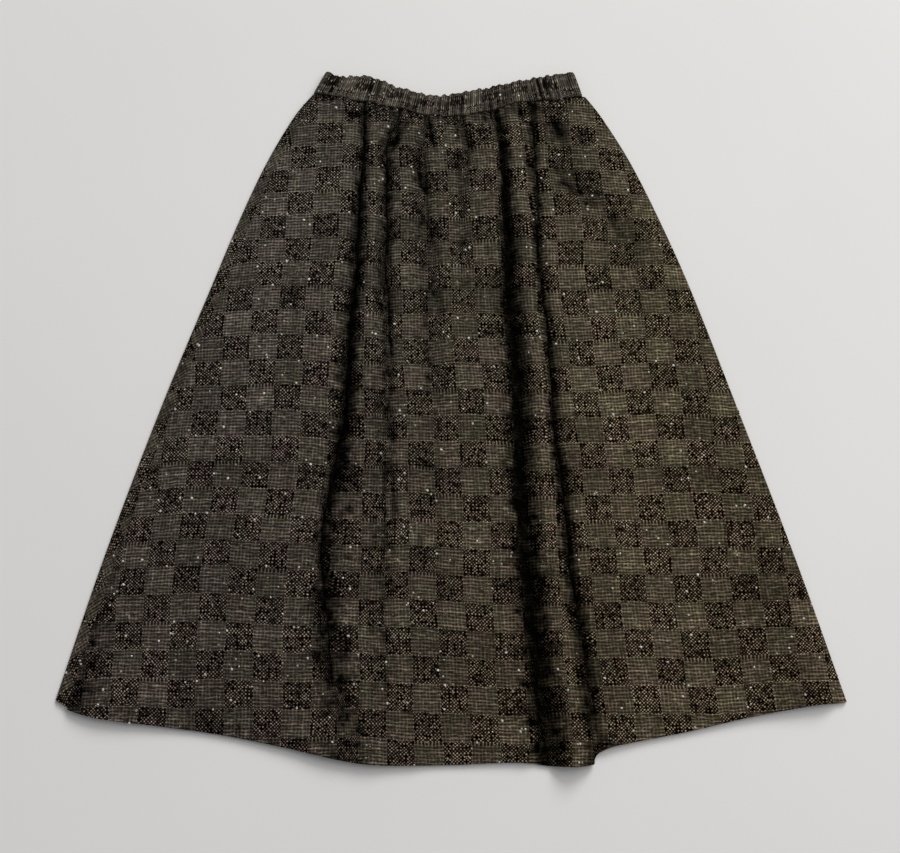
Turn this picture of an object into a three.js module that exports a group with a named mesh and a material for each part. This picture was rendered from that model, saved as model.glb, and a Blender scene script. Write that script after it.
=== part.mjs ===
// Midi skirt in tweed: two A-line panels gathered into an elastic waistband, laid flat on its back.
// Millimetres, +Z up. The waist is towards +Y, the hem towards -Y, and the skirt rests on z = 0.
import * as THREE from 'three';

// Driving sizes
const clothThickness = 2.2;      // tweed panel, with its turned edges
const bandThickness = 4.6;       // casing folded over the elastic
const seamGap = 0.3;             // between pieces that are sewn together
const layerGap = 0.5;            // between the front panel's valleys and the back panel
const rollRadius = 3.75;         // of the soft turn at each side
const leftSeamInset = 15;        // the left side seam lies on the top of the skirt
const rightSeamInset = 16;       // the right one has rolled underneath
const backHemLift = 3;           // the back hem lies this much behind the front one
const puckers = 34;              // in the waistband, on each side
const puckerDepth = 1.5;
const puckerDrift = 0.22;        // of a pucker's place, as a share of the space for it
const gatherWidth = 4.2;         // half width of a short gather
const riseBelowBand = 80;        // the cloth reaches its full height this far below the waistband
const riseFromSide = 60;         // and this far in from a side roll
const floorHeight = 1.5 * clothThickness + layerGap;        // middle of the cloth in the lowest valley
const softFloor = 2;             // valleys come to rest over this height
const edgeHeight = clothThickness / 2 + 2 * rollRadius;     // middle of the cloth at the top of a side roll

// Fineness of the solids
const rowShares = [
  0, 0.008, 0.02, 0.035, 0.052, 0.07, 0.09, 0.115, 0.145, 0.18, 0.22, 0.27, 0.32, 0.38, 0.44, 0.5,
  0.56, 0.62, 0.68, 0.74, 0.79, 0.84, 0.88, 0.92, 0.96, 1,
];
const gatherZone = 0.15;         // share of the length with even columns, fine enough for the gathers
const frontGatherColumns = 84;
const backGatherColumns = 56;
const backColumns = 8;
const foldColumns = { a: 11, b: 6, c: 6, e: 9, f: 8, g: 7, edge: 8 };    // up to each fold, from the left
const foldCrowding = 0.55;
const columnsPerPucker = 4;
const turnSteps = [0.2, 0.4, 0.6, 0.8, 1];

// Side edges of the laid skirt
const sides = [
  { y: 431, left: -172, right: 167 },
  { y: 402, left: -194, right: 188 },
  { y: 348, left: -223, right: 219 },
  { y: 281, left: -251, right: 249 },
  { y: 183, left: -286, right: 287 },
  { y: 25, left: -341, right: 339 },
  { y: -154, left: -397, right: 396 },
  { y: -322, left: -443, right: 445 },
];

// Seam between the panels and the waistband
const waistSeam = [
  { x: -172, y: 431 },
  { x: -126, y: 423 },
  { x: -79, y: 413 },
  { x: -28, y: 401 },
  { x: 4, y: 398.5 },
  { x: 45, y: 406 },
  { x: 90, y: 418 },
  { x: 140, y: 423 },
  { x: 167, y: 427 },
];

// Upper edge of the waistband
const waistTop = [
  { x: -157, y: 459 },
  { x: -142, y: 453 },
  { x: -101, y: 452 },
  { x: -63, y: 437 },
  { x: -18, y: 426 },
  { x: 38, y: 435 },
  { x: 82, y: 445 },
  { x: 126, y: 454 },
  { x: 157, y: 457 },
];

// Hem edge, with the step where the tall flute hangs lower than the cloth beside it
const hem = [
  { x: -443, y: -322 },
  { x: -424, y: -331 },
  { x: -390, y: -340 },
  { x: -322, y: -348 },
  { x: -255, y: -357 },
  { x: -188, y: -370 },
  { x: -121, y: -385 },
  { x: -80, y: -390 },
  { x: 0, y: -389.5 },
  { x: 77, y: -387 },
  { x: 121, y: -391.5 },
  { x: 152, y: -390 },
  { x: 173, y: -373 },
  { x: 200, y: -366 },
  { x: 267, y: -353 },
  { x: 334, y: -338 },
  { x: 402, y: -326 },
  { x: 445, y: -321 },
];

// Height of the crests above the side rolls, across the skirt (u) at three levels
const crests = [
  { u: 0.00, upper: 2.0, middle: 3.0, lower: 1.5 },
  { u: 0.14, upper: 5.0, middle: 6.5, lower: 3.0 },
  { u: 0.27, upper: 6.5, middle: 7.0, lower: 3.5 },
  { u: 0.38, upper: 5.5, middle: 6.5, lower: 4.5 },
  { u: 0.48, upper: 3.5, middle: 4.0, lower: 2.5 },
  { u: 0.56, upper: 3.5, middle: 3.5, lower: 2.0 },
  { u: 0.66, upper: 5.0, middle: 5.5, lower: 3.5 },
  { u: 0.80, upper: 4.5, middle: 6.0, lower: 4.0 },
  { u: 1.00, upper: 2.0, middle: 3.0, lower: 1.5 },
];
const crestLevels = { upper: 330, middle: 80, lower: -340 };

// The long folds: where each runs, how deep it is (a ridge is negative) and how wide on each side
const foldLevels = [410, 350, 220, 30, -150, -265, -375];
const folds = [
  {
    name: 'a', x: [-111, -108, -112, -123, -144, -137, -122], depth: [3.5, 9, 11, 12, 10.5, 8.5, 6],
    left: [5, 6, 8, 9, 9, 13, 16], right: [4, 4.5, 5, 5, 7, 12, 16],
  },
  {
    name: 'b', x: [-81, -78, -76, -71, -73, -75, -62], depth: [3.5, 7.5, 7, 4.5, 3.2, 2.4, 1],
    left: [4, 5, 6, 7, 9, 12, 16], right: [4, 5, 6, 8, 11, 14, 18],
  },
  {
    name: 'c', x: [-27, -29, -22, -15, -19, -18, -15], depth: [2.5, 4, 3.4, 2.2, 2, 2.2, 1.6],
    left: [4, 6, 9, 12, 16, 18, 20], right: [4, 6, 8, 12, 16, 18, 20],
  },
  {
    name: 'd', x: [11, 10, 13, 18, 22, 26, 30], depth: [3, 4.2, 1.6, 0.2, 0, 0, 0],
    left: [4, 5, 8, 12, 16, 18, 20], right: [4, 5, 8, 12, 16, 18, 20],
  },
  {
    name: 'e', x: [52, 66, 70, 79, 87, 101, 113], depth: [3, 9.5, 11, 12, 12, 11.5, 10],
    left: [4, 6, 8, 9, 10, 10, 11], right: [4, 5.5, 7, 8, 9, 9, 10],
  },
  {
    name: 'flute', x: [78, 84, 91, 103, 115, 129, 142], depth: [0, -0.5, -3, -6, -9, -11, -12],
    left: [8, 9, 10, 12, 14, 15, 16], right: [8, 9, 9, 10, 11, 12, 12],
  },
  {
    name: 'f', x: [101, 105, 110, 123, 139, 153, 165], depth: [3, 6.5, 8.5, 10, 10.5, 10.5, 10],
    left: [4, 4.5, 5, 5, 5.5, 6, 6.5], right: [4, 5, 5.5, 6, 6.5, 7, 8],
  },
  {
    name: 'g', x: [121, 138, 205, 298, 350, 378, 395], depth: [2.5, 4.8, 3.4, 2.4, 2.4, 2, 1.2],
    left: [5, 7, 20, 32, 38, 40, 40], right: [5, 7, 18, 26, 30, 32, 32],
  },
];

// The short gathers that fade out below the waistband, and how far each one drifts sideways
const gathers = [
  { x: -151, depth: 1.4, reach: 45, drift: -12 },
  { x: -131, depth: 1.6, reach: 34, drift: -6 },
  { x: -95, depth: 2.2, reach: 26, drift: 0 },
  { x: -63, depth: 3.2, reach: 48, drift: 2 },
  { x: -50, depth: 2.8, reach: 40, drift: 4 },
  { x: -10, depth: 2.4, reach: 30, drift: 0 },
  { x: 23, depth: 2.8, reach: 40, drift: 3 },
  { x: 37, depth: 2.2, reach: 28, drift: 4 },
  { x: 63, depth: 2.8, reach: 32, drift: 2 },
  { x: 74, depth: 2.2, reach: 26, drift: 3 },
  { x: 88, depth: 3.0, reach: 48, drift: 10 },
  { x: 112, depth: 2.4, reach: 30, drift: 5 },
  { x: 135, depth: 1.8, reach: 32, drift: 10 },
  { x: 150, depth: 1.4, reach: 26, drift: 12 },
];

// The same on the back panel, where they lift off the surface
const backGathers = [
  { x: -146, depth: 1.6, reach: 60, drift: -18 },
  { x: -128, depth: 2.4, reach: 95, drift: -14 },
  { x: -112, depth: 1.6, reach: 45, drift: -6 },
  { x: -93, depth: 2.8, reach: 130, drift: -10 },
  { x: -72, depth: 2.0, reach: 60, drift: -4 },
  { x: -55, depth: 2.6, reach: 110, drift: -4 },
  { x: -38, depth: 1.8, reach: 50, drift: -2 },
  { x: -14, depth: 2.8, reach: 140, drift: 0 },
  { x: 6, depth: 1.8, reach: 55, drift: 2 },
  { x: 26, depth: 2.6, reach: 100, drift: 4 },
  { x: 44, depth: 1.8, reach: 50, drift: 4 },
  { x: 66, depth: 2.8, reach: 125, drift: 8 },
  { x: 86, depth: 1.8, reach: 55, drift: 6 },
  { x: 108, depth: 2.6, reach: 100, drift: 14 },
  { x: 127, depth: 2.0, reach: 60, drift: 14 },
  { x: 143, depth: 1.6, reach: 45, drift: 16 },
];

const clamp = (value, low, high) => Math.min(high, Math.max(low, value));
const mix = (a, b, t) => a + (b - a) * t;
const bell = (t) => Math.exp(-t * t / 2);

function ease(t) {
  const c = clamp(t, 0, 1);
  return c * c * (3 - 2 * c);
}

// Value of a smooth curve through a table's rows, whose key column rises or falls steadily
function along(rows, key, column, at) {
  const rising = rows.at(-1)[key] > rows[0][key] ? 1 : -1;
  let i = 0;
  while (i < rows.length - 2 && rising * at > rising * rows[i + 1][key]) i += 1;
  const slope = (j) => {
    const before = rows[Math.max(0, j - 1)];
    const after = rows[Math.min(rows.length - 1, j + 1)];
    return (after[column] - before[column]) / (after[key] - before[key]);
  };
  const step = rows[i + 1][key] - rows[i][key];
  const t = clamp((at - rows[i][key]) / step, 0, 1);
  const bendStart = slope(i) * step;
  const bendEnd = slope(i + 1) * step;
  const rise = rows[i + 1][column] - rows[i][column];
  return rows[i][column] + bendStart * t + (3 * rise - 2 * bendStart - bendEnd) * t * t
    + (bendStart + bendEnd - 2 * rise) * t * t * t;
}

// Value of one of a fold's lists at the level y, straight between the levels
function atLevel(list, y) {
  let i = 0;
  while (i < foldLevels.length - 2 && y < foldLevels[i + 1]) i += 1;
  const t = clamp((y - foldLevels[i]) / (foldLevels[i + 1] - foldLevels[i]), 0, 1);
  return mix(list[i], list[i + 1], ease(t) * 0.35 + t * 0.65);
}

const leftAt = (y) => along(sides, 'y', 'left', y);
const rightAt = (y) => along(sides, 'y', 'right', y);
const seamAt = (x) => along(waistSeam, 'x', 'y', clamp(x, waistSeam[0].x, waistSeam.at(-1).x));
const hemAt = (x) => along(hem, 'x', 'y', x);

// Point of an end curve (the waist seam or the hem) at the share u of the way across
function endPoint(curve, u) {
  let y = curve(0);
  let x = 0;
  for (let i = 0; i < 6; i += 1) {
    x = mix(leftAt(y), rightAt(y), u);
    y = curve(x);
  }
  return { x, y };
}

// Plan position at the share u across and v down the skirt
function plan(u, v, lift = 0) {
  const y = mix(endPoint(seamAt, u).y - seamGap / 2, endPoint(hemAt, u).y + lift, v);
  return { x: mix(leftAt(y), rightAt(y), u), y };
}

// Share across at which the fold runs on the row v
function acrossAt(fold, v) {
  let u = 0.5;
  for (let i = 0; i < 5; i += 1) {
    const { y } = plan(u, v);
    u = (atLevel(fold.x, y) - leftAt(y)) / (rightAt(y) - leftAt(y));
  }
  return u;
}

// Depth of the short gathers at a point
function gatherDepth(list, x, down) {
  let depth = 0;
  for (const gather of list) {
    const fade = 1 - ease(down / gather.reach);
    const centre = gather.x + gather.drift * down / gather.reach;
    depth += gather.depth * fade * bell((x - centre) / gatherWidth);
  }
  return depth;
}

// Height of the middle of the front panel's cloth
function frontHeight(x, y) {
  const left = leftAt(y);
  const right = rightAt(y);
  const u = (x - left) / (right - left);
  const down = seamAt(x) - y;
  const end = y > crestLevels.middle ? 'upper' : 'lower';
  const share = (y - crestLevels.middle) / (crestLevels[end] - crestLevels.middle);
  const crest = mix(along(crests, 'u', 'middle', u), along(crests, 'u', end, u), ease(share));
  const inset = Math.min(x - left, right - x) - rollRadius;
  let height = edgeHeight + crest * ease(down / riseBelowBand) * ease(inset / riseFromSide);
  for (const fold of folds) {
    const offset = x - atLevel(fold.x, y);
    const width = atLevel(offset < 0 ? fold.left : fold.right, y);
    height -= atLevel(fold.depth, y) * bell(offset / width);
  }
  height -= gatherDepth(gathers, x, down);
  const spare = height - floorHeight;
  return floorHeight + (spare > softFloor ? spare : softFloor * Math.exp(spare / softFloor - 1));
}

// Height of the middle of the back panel's cloth, which lies on the surface
function backHeight(x, y) {
  const down = seamAt(x) - y;
  const lift = gatherDepth(backGathers, x, down);
  const room = frontHeight(x, y) - 2 * clothThickness - layerGap;
  return clothThickness / 2 + clamp(lift, 0, Math.max(0, room));
}

// Turn of cloth at a side: from the top of the roll (0) to the underside (1), with its row's bend
function sideTurn(v, side, turns, lift) {
  const edge = plan(side > 0 ? 1 : 0, v, lift);
  const width = plan(1, v, lift).x - plan(0, v, lift).x;
  return turns.map((turn) => {
    const angle = Math.PI * (0.5 - turn);
    const inset = rollRadius * (1 - Math.cos(angle));
    const u = side > 0 ? 1 - inset / width : inset / width;
    const z = clothThickness / 2 + rollRadius * (1 + Math.sin(angle));
    return new THREE.Vector3(edge.x - side * inset, plan(u, v, lift).y, z);
  });
}

// Points across one row of the front panel: the top, the right side roll and the strip beneath
function frontRow(v, shares) {
  const points = shares.map((u) => {
    const p = plan(u, v);
    return { u, p: new THREE.Vector3(p.x, p.y, frontHeight(p.x, p.y)) };
  });
  sideTurn(v, 1, turnSteps, 0).forEach((p, i) => points.push({ u: 1 + turnSteps[i], p }));
  const strip = plan(1 - rightSeamInset / (plan(1, v).x - plan(0, v).x), v);
  points.push({ u: 3, p: new THREE.Vector3(strip.x, strip.y, clothThickness / 2) });
  return points;
}

// Points across one row of the back panel: its strip on top, the left side roll and the underside
function backRow(v, shares) {
  const width = plan(1, v).x - plan(0, v).x;
  const points = [];
  for (const share of [1, 0.5]) {
    const p = plan(mix(rollRadius, leftSeamInset, share) / width, v, backHemLift);
    points.push({ u: -2 - share, p: new THREE.Vector3(p.x, p.y, frontHeight(p.x, p.y)) });
  }
  const turns = [0, ...turnSteps];
  sideTurn(v, -1, turns, backHemLift).forEach((p, i) => points.push({ u: turns[i] - 2, p }));
  for (const u of shares) {
    const p = plan(u, v, backHemLift);
    points.push({ u, p: new THREE.Vector3(p.x, p.y, backHeight(p.x, p.y)) });
  }
  return points;
}

// Triangles between two rows that may have different numbers of points
function zip(a, b) {
  const triangles = [];
  let i = 0;
  let j = 0;
  while (i < a.length - 1 || j < b.length - 1) {
    const stepA = i < a.length - 1 ? a[i + 1].u : Infinity;
    const stepB = j < b.length - 1 ? b[j + 1].u : Infinity;
    if (Math.abs(stepA - stepB) < 1e-6 && (i + j) % 2 === 0 || stepA < stepB) {
      triangles.push([a[i], a[i + 1], b[j]]);
      i += 1;
    } else {
      triangles.push([a[i], b[j + 1], b[j]]);
      j += 1;
    }
  }
  return triangles;
}

// Closed wall on both sides of the rows' surface
function wall(rows, thickness) {
  const triangles = [];
  for (let i = 0; i < rows.length - 1; i += 1) triangles.push(...zip(rows[i], rows[i + 1]));
  const all = rows.flat();
  all.forEach((point, index) => {
    point.index = index;
    point.normal = new THREE.Vector3();
  });
  for (const [a, b, c] of triangles) {
    const normal = b.p.clone().sub(a.p).cross(c.p.clone().sub(a.p));
    for (const point of [a, b, c]) point.normal.add(normal);
  }
  for (const row of [rows[0], rows.at(-1)]) {
    for (const point of row) point.normal.y = 0;
  }
  const outer = all.map(({ p, normal }) => p.clone().addScaledVector(normal.normalize(), thickness / 2));
  const inner = all.map(({ p, normal }) => p.clone().addScaledVector(normal, -thickness / 2));
  const count = all.length;
  const faces = [];
  for (const [a, b, c] of triangles) {
    faces.push(a.index, b.index, c.index, c.index + count, b.index + count, a.index + count);
  }
  const border = [
    ...rows[0],
    ...rows.slice(1, -1).map((row) => row.at(-1)),
    ...rows.at(-1).slice().reverse(),
    ...rows.slice(1, -1).map((row) => row[0]).reverse(),
  ];
  border.forEach((point, k) => {
    const next = border[(k + 1) % border.length];
    faces.push(next.index, point.index, point.index + count);
    faces.push(next.index, point.index + count, next.index + count);
  });
  return solid([...outer, ...inner], faces);
}

// Indexed geometry whose faces point out, with nothing below the surface it rests on
function solid(points, faces) {
  let volume = 0;
  for (let i = 0; i < faces.length; i += 3) {
    volume += points[faces[i]].dot(points[faces[i + 1]].clone().cross(points[faces[i + 2]]));
  }
  const index = volume > 0 ? faces : faces.slice().reverse();
  const geometry = new THREE.BufferGeometry();
  const positions = points.flatMap((p) => [p.x, p.y, Math.max(0, p.z)]);
  geometry.setAttribute('position', new THREE.Float32BufferAttribute(positions, 3));
  geometry.setIndex(index);
  geometry.computeVertexNormals();
  return geometry;
}

function evenShares(start, end, columns) {
  return Array.from({ length: columns + 1 }, (unused, i) => mix(start, end, i / columns));
}

// Shares across the top of the front panel: even near the waist, crowded into the folds below
function frontShares(v) {
  const edge = plan(0, v);
  const width = plan(1, v).x - edge.x;
  const start = (leftSeamInset + seamGap) / width;
  const end = 1 - rollRadius / width;
  if (v < gatherZone) {
    return evenShares(start, end, frontGatherColumns);
  }
  const stops = [{ u: start, columns: 0 }];
  for (const [name, columns] of Object.entries(foldColumns)) {
    stops.push({ u: name === 'edge' ? end : acrossAt(folds.find((f) => f.name === name), v), columns });
  }
  const shares = [start];
  for (let i = 1; i < stops.length; i += 1) {
    for (let j = 1; j <= stops[i].columns; j += 1) {
      const t = j / stops[i].columns;
      const crowded = t - foldCrowding * Math.sin(2 * Math.PI * t) / (2 * Math.PI);
      shares.push(mix(stops[i - 1].u, stops[i].u, crowded));
    }
  }
  return shares;
}

function frontPanel() {
  return wall(rowShares.map((v) => frontRow(v, frontShares(v))), clothThickness);
}

function backPanel() {
  return wall(rowShares.map((v) => {
    const width = plan(1, v).x - plan(0, v).x;
    const start = (rollRadius + 2) / width;
    const end = 1 - (rightSeamInset + seamGap) / width;
    return backRow(v, evenShares(start, end, v < gatherZone ? backGatherColumns : backColumns));
  }), clothThickness);
}

// Waistband: one flattened ring, puckered all the way round by the elastic inside it
const bandHalf = bandThickness / 2;
const bandRoll = (edgeHeight - bandThickness / 4) / 2;
const bandInset = bandRoll + bandHalf;
const bandSection = [
  { rise: 0, out: 0.84 },
  { rise: 0.5, out: 1 },
  { rise: 1, out: 0.68 },
  { rise: 1, out: -0.68 },
  { rise: 0.5, out: -1 },
  { rise: 0, out: -0.84 },
];
const puckerShare = { top: 0.8, outside: 0.9, inside: 0.35 };    // of the pucker depth, on each face
const flatEnds = 1 / 30;         // share of the band that is smooth at each side

// Places round the ring: t runs across, and turn from the front (0) to the back (1)
function bandStations() {
  const steps = puckers * columnsPerPucker;
  const across = Array.from({ length: steps + 1 }, (unused, i) => i / steps);
  const turns = [0.25, 0.5, 0.75];
  return [
    ...across.map((t) => ({ t, turn: 0 })),
    ...turns.map((turn) => ({ t: 1, turn })),
    ...across.slice().reverse().map((t) => ({ t, turn: 1 })),
    ...turns.slice().reverse().map((turn) => ({ t: 0, turn })),
  ];
}

// How far the cloth is drawn in by the puckers at a place on the ring
function puckerDip({ t, turn }) {
  if (turn !== 0 && turn !== 1) return 0;
  const phase = 2 * Math.PI * (puckers * t + puckerDrift * Math.sin(9 * t + 3 * turn));
  const uneven = 1 + 0.3 * Math.sin(31 * t + turn);
  return puckerDepth * uneven * ease(t / flatEnds) * ease((1 - t) / flatEnds) * (1 - Math.cos(phase)) / 2;
}

// Points of the band's section at a place on the ring
function bandRing(station) {
  const { t, turn } = station;
  const side = t < 0.5 ? -1 : 1;
  const angle = Math.PI * (0.5 - turn);
  const flat = turn === 0 || turn === 1;
  const normal = new THREE.Vector3(flat ? 0 : side * Math.cos(angle), 0, Math.sin(angle));
  const low = mix(waistSeam[0].x + bandInset, waistSeam.at(-1).x - bandInset, t);
  const high = mix(waistTop[0].x + bandInset, waistTop.at(-1).x - bandInset, t);
  const dip = puckerDip(station);
  return bandSection.map(({ rise, out }) => {
    const drawnIn = dip * (out > 0 ? puckerShare.outside : puckerShare.inside);
    const shift = normal.x * (bandRoll + out * bandHalf);
    const bottom = seamAt(low + shift) + seamGap / 2;
    const top = along(waistTop, 'x', 'y', high) - dip * puckerShare.top;
    return new THREE.Vector3(
      mix(low, high, rise) + shift, mix(bottom, top, rise),
      bandInset + normal.z * (bandRoll + out * bandHalf - drawnIn));
  });
}

function waistband() {
  const rings = bandStations().map(bandRing);
  const count = bandSection.length;
  const faces = [];
  rings.forEach((ring, i) => {
    const next = (i + 1) % rings.length;
    for (let j = 0; j < count; j += 1) {
      const k = (j + 1) % count;
      faces.push(i * count + j, next * count + j, next * count + k);
      faces.push(i * count + j, next * count + k, i * count + k);
    }
  });
  return solid(rings.flat(), faces);
}

function tweed(colour) {
  return new THREE.MeshStandardMaterial({ color: colour, roughness: 0.95, metalness: 0 });
}

function named(name, geometry, colour) {
  const mesh = new THREE.Mesh(geometry, tweed(colour));
  mesh.name = name;
  return mesh;
}

const group = new THREE.Group();
group.add(named('front_panel', frontPanel(), 0x35322f));
group.add(named('back_panel', backPanel(), 0x33302d));
group.add(named('waistband', waistband(), 0x2f2c2a));

// The origin is the middle of the footprint, on the surface
const box = new THREE.Box3().setFromObject(group);
group.position.set(-(box.min.x + box.max.x) / 2, -(box.min.y + box.max.y) / 2, 0);

export default group;
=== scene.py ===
# Midi skirt in block-check tweed, laid flat: cloth, yarn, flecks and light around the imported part.
import math
from functools import partial

import bpy
import numpy as np
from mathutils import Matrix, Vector


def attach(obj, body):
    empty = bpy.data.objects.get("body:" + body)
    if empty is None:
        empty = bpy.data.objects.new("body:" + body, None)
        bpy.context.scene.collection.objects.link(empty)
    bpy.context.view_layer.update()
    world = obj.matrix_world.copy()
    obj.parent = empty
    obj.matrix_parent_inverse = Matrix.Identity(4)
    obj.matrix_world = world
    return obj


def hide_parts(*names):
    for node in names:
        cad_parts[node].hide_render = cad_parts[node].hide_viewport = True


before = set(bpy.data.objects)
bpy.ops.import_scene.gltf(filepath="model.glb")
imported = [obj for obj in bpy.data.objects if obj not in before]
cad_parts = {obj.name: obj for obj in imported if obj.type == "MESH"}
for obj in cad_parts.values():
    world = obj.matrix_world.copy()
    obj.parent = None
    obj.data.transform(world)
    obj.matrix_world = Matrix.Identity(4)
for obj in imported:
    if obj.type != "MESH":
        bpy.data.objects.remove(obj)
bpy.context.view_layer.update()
print("frame loaded")

mm = 0.001
centre = (1.2716, 32.1103)         # middle of the footprint, in the drawing's millimetres
clothThickness = 1.3


# Camera and light

studio = {
    "aim": (0, 0, 0),              # drawing mm
    "distance": 1656,
    "tilt": 15,                    # degrees off straight down
    "lens": 56,
    "sensor": 36,
    "lamps": [                     # name, turn to the right, height angle, distance, size, power
        ("windowLight", 25, 36, 9000, 4800, 498),
        ("sideLight", 70, 54, 4500, 3400, 70),
    ],
    "lampColour": (1.0, 0.985, 0.965),
    "fillColour": (0.95, 0.96, 1.0),
    "fillStrength": 0.28,
    "floorColour": (0.80, 0.79, 0.775),
    "floorSize": 14000,
}


def place(x, y, z=0.0):
    return Vector(((x - centre[0]) * mm, (y - centre[1]) * mm, z * mm))


def newObject(name, data):
    thing = bpy.data.objects.new(name, data)
    bpy.context.collection.objects.link(thing)
    return thing


def makeCamera():
    tilt = math.radians(studio["tilt"])
    aim = place(*studio["aim"])
    away = Vector((0, -math.sin(tilt), math.cos(tilt)))
    data = bpy.data.cameras.new("camera")
    data.lens = studio["lens"]
    data.sensor_width = studio["sensor"]
    camera = newObject("camera", data)
    camera.location = aim + away * studio["distance"] * mm
    camera.rotation_euler = (tilt, 0, 0)
    bpy.context.scene.camera = camera


def makeLight():
    for name, turn, height, away, size, power in studio["lamps"]:
        turn, height = math.radians(turn), math.radians(height)
        data = bpy.data.lights.new(name, "AREA")
        data.shape = "DISK"
        data.size = size * mm
        data.energy = power
        data.color = studio["lampColour"]
        lamp = newObject(name, data)
        flat = math.cos(height)
        way = Vector((math.sin(turn) * flat, math.cos(turn) * flat, math.sin(height)))
        lamp.location = way * away * mm
        lamp.rotation_euler = (-way).to_track_quat("-Z", "Y").to_euler()
    world = bpy.data.worlds.new("studio")
    bpy.context.scene.world = world
    world.use_nodes = True
    sky = world.node_tree.nodes["Background"]
    sky.inputs["Color"].default_value = (*studio["fillColour"], 1)
    sky.inputs["Strength"].default_value = studio["fillStrength"]
    bpy.context.scene.view_settings.view_transform = "Standard"


makeCamera()
makeLight()
print("camera and light set")


# The skirt's outline and folds, in the drawing's millimetres

outline = {
    "sides": [                     # y, left, right
        (-322, -443, 445), (-154, -397, 396), (25, -341, 339), (183, -286, 287),
        (281, -251, 249), (348, -223, 219), (402, -194, 188), (431, -172, 167),
    ],
    "waistSeam": [                 # x, y
        (-172, 431), (-126, 423), (-79, 413), (-28, 401), (4, 398.5),
        (45, 406), (90, 418), (140, 423), (167, 427),
    ],
    "waistTop": [
        (-157, 459), (-142, 453), (-101, 452), (-63, 437), (-18, 426),
        (38, 435), (82, 445), (126, 454), (157, 457),
    ],
    "hem": [
        (-443, -322), (-424, -331), (-390, -340), (-322, -348), (-255, -357), (-188, -370),
        (-121, -385), (-80, -390), (0, -389.5), (77, -387), (121, -391.5), (152, -390),
        (173, -373), (200, -366), (267, -353), (334, -338), (402, -326), (445, -321),
    ],
}

drape = {
    "rollRadius": 1.3,             # of the soft turn at each side
    "waistRoll": 3.5,              # the same where it meets the waistband
    "insideHeight": 9.05,          # middle of the cloth near the waistband
    "riseBelowBand": 80,
    "riseFromRoll": 24,
    "riseFromSide": 60,
    "lowest": 2.4,                 # middle of the cloth in the deepest valley
    "lowestAtHem": 3.9,
    "softFloor": 2,
    "hemReach": 190,               # the hem's own waves fade this far up
    "gatherWidth": 3.6,
    "gatherDeeper": 1.6,
    "gatherPaintedShade": 0.70,            # painted shade inside the deepest of the short gathers
    "seamWave": 0.8,               # how far the elastic pulls the waist seam up and down
    "seamGap": 0.15,               # between the panel's cut edge and the waistband, as far again in the band
    "pucker": 2.0,                 # depth of the small puckers just under the waistband
    "puckerReach": 16,
    "bulge": 3.0,                  # how far the cloth swells up against the waistband
    "bulgeReach": 12,
    "wrinkles": [                  # height, wavelength, direction in degrees, start
        (0.50, 130, 18, 0.4), (0.40, 96, -12, 2.1), (0.30, 74, 31, 4.0),
        (0.24, 61, -38, 1.2), (0.18, 43, 8, 5.1), (0.12, 33, 55, 3.3),
    ],
}
puckers = 34

# x, height of the middle of the cloth along the hem, where it lifts off the floor in waves
hemWaves = [
    (-443, 6), (-420, 9), (-393, 11), (-337, 8), (-281, 5), (-225, 6), (-168, 9), (-112, 14), (-56, 9),
    (0, 5), (56, 5.5), (107, 8), (142, 10), (190, 7), (223, 5.5), (280, 5.5), (345, 8), (412, 13), (445, 8),
]

# u across, then the crests' height over the side rolls at three levels
crests = [
    (0.00, 2.0, 3.0, 1.5), (0.14, 5.0, 6.5, 3.0), (0.27, 6.5, 7.0, 3.5),
    (0.38, 5.5, 6.5, 4.5), (0.48, 3.5, 4.0, 2.5), (0.56, 3.5, 3.5, 2.0),
    (0.66, 5.0, 5.5, 3.5), (0.80, 4.5, 6.0, 4.0), (1.00, 2.0, 3.0, 1.5),
]
crestLevels = {"upper": 330, "middle": 80, "lower": -340}
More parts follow.
